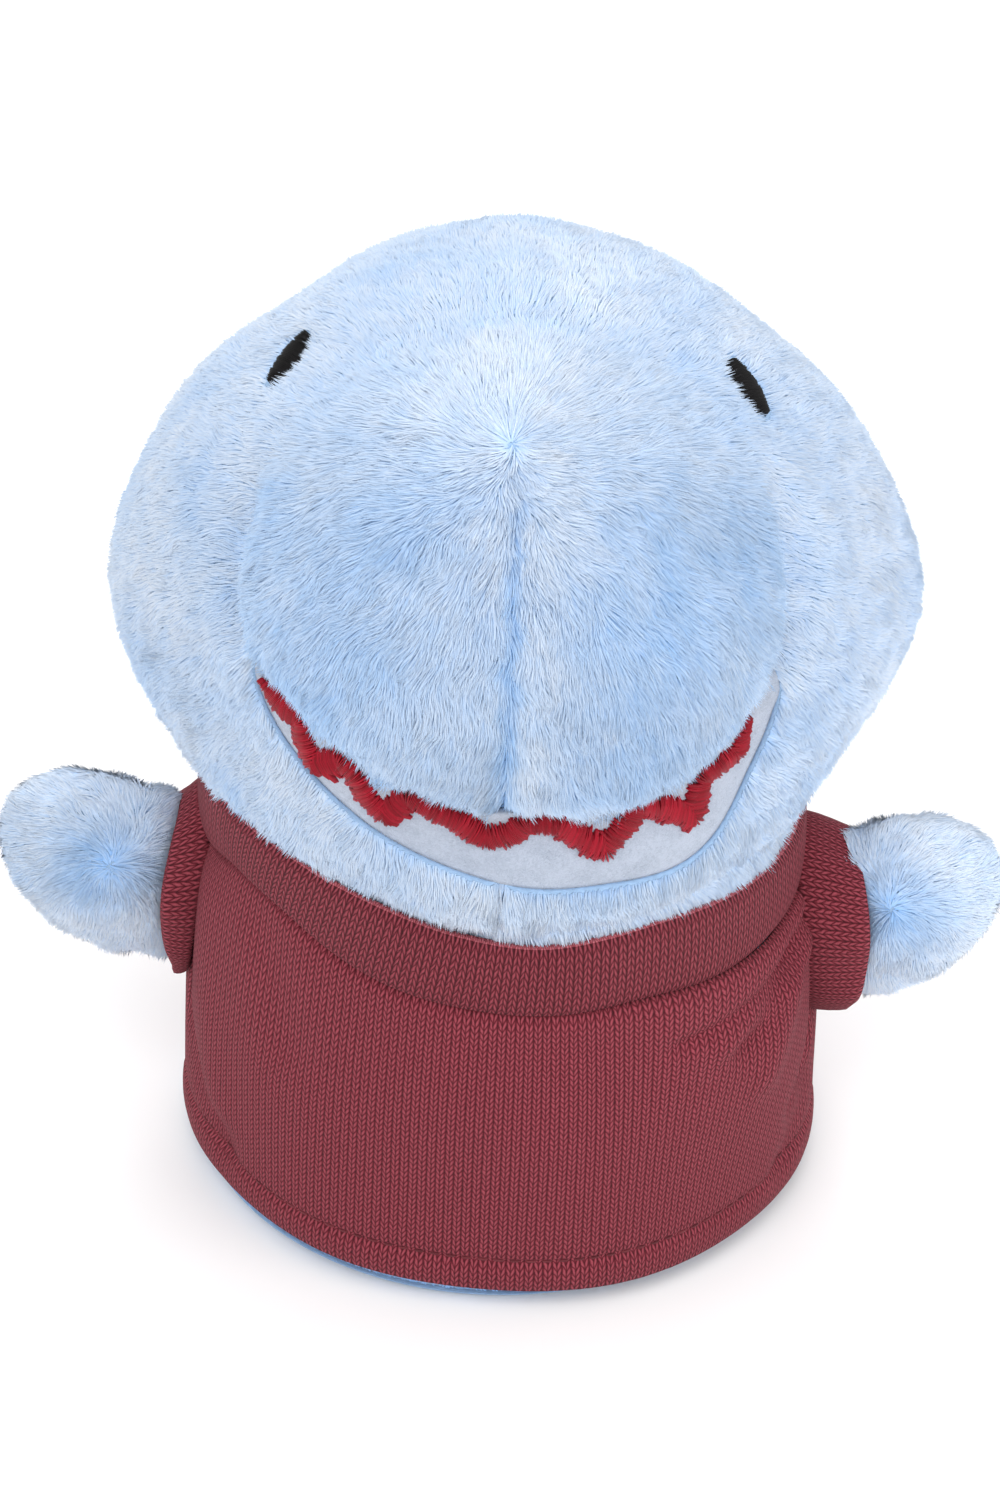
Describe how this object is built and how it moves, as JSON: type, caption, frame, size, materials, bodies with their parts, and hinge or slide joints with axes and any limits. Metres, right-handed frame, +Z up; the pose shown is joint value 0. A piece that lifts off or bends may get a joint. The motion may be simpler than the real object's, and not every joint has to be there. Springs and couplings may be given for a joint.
{
  "type": "plush shark",
  "caption": "Small sitting plush shark with a raised snout, a stitched zigzag smile, stuffed side fins and a fitted knitted T-shirt.",
  "frame": {"origin": "middle of the flat base that the toy sits on", "axes": "+Z up, the shark faces -Y, and its own left side is +X"},
  "size_m": [0.1004, 0.086, 0.1012],
  "materials": {
    "plush_pile": "matte",
    "mouth_felt": "matte",
    "mouth_thread": "satin",
    "eye_thread": "satin",
    "shirt_jersey": "matte",
    "shirt_rib": "matte",
    "shirt_thread": "matte",
    "stuffing": "matte",
    "pellet_cloth": "matte"
  },
  "bodies": {
    "root": {"body_front_panel": "plush_pile", "body_back_panel": "plush_pile", "base_panel": "plush_pile", "body_filling": "stuffing", "pellet_bag": "pellet_cloth", "shirt_front": "shirt_jersey", "shirt_back": "shirt_jersey", "shirt_collar": "shirt_rib", "left_sleeve": "shirt_jersey", "right_sleeve": "shirt_jersey", "hem_stitching": "shirt_thread"},
    "head": {"snout_panel": "plush_pile", "crown_panel": "plush_pile", "mouth_felt": "mouth_felt", "mouth_stitching": "mouth_thread", "left_jaw_panel": "plush_pile", "right_jaw_panel": "plush_pile", "left_head_back_panel": "plush_pile", "right_head_back_panel": "plush_pile", "head_filling": "stuffing", "left_eye": "eye_thread", "right_eye": "eye_thread"},
    "dorsal_fin": {"dorsal_fin_left_panel": "plush_pile", "dorsal_fin_right_panel": "plush_pile", "dorsal_fin_filling": "stuffing"},
    "left_fin": {"left_fin_front_panel": "plush_pile", "left_fin_back_panel": "plush_pile", "left_fin_filling": "stuffing"},
    "right_fin": {"right_fin_front_panel": "plush_pile", "right_fin_back_panel": "plush_pile", "right_fin_filling": "stuffing"}
  },
  "joints": [
    {"name": "head_turn", "type": "hinge", "parent": "root", "child": "head", "pos_m": [0, 0, 0.0382], "axis": [0, 0, 1], "range_deg": [-20, 20], "stiffness_Nm_per_rad": 0.03},
    {"name": "dorsal_fin_flex", "type": "hinge", "parent": "head", "child": "dorsal_fin", "pos_m": [0, 0.03404, 0.0615], "axis": [0, 0.1392, 0.9903], "range_deg": [-20, 20], "stiffness_Nm_per_rad": 0.003},
    {"name": "left_fin_swing", "type": "hinge", "parent": "root", "child": "left_fin", "pos_m": [0.0295, -0.001, 0.0285], "axis": [0, 0, 1], "range_deg": [-25, 25], "stiffness_Nm_per_rad": 0.004},
    {"name": "right_fin_swing", "type": "hinge", "parent": "root", "child": "right_fin", "pos_m": [-0.0295, -0.001, 0.0285], "axis": [0, 0, -1], "range_deg": [-25, 25], "stiffness_Nm_per_rad": 0.004}
  ]
}
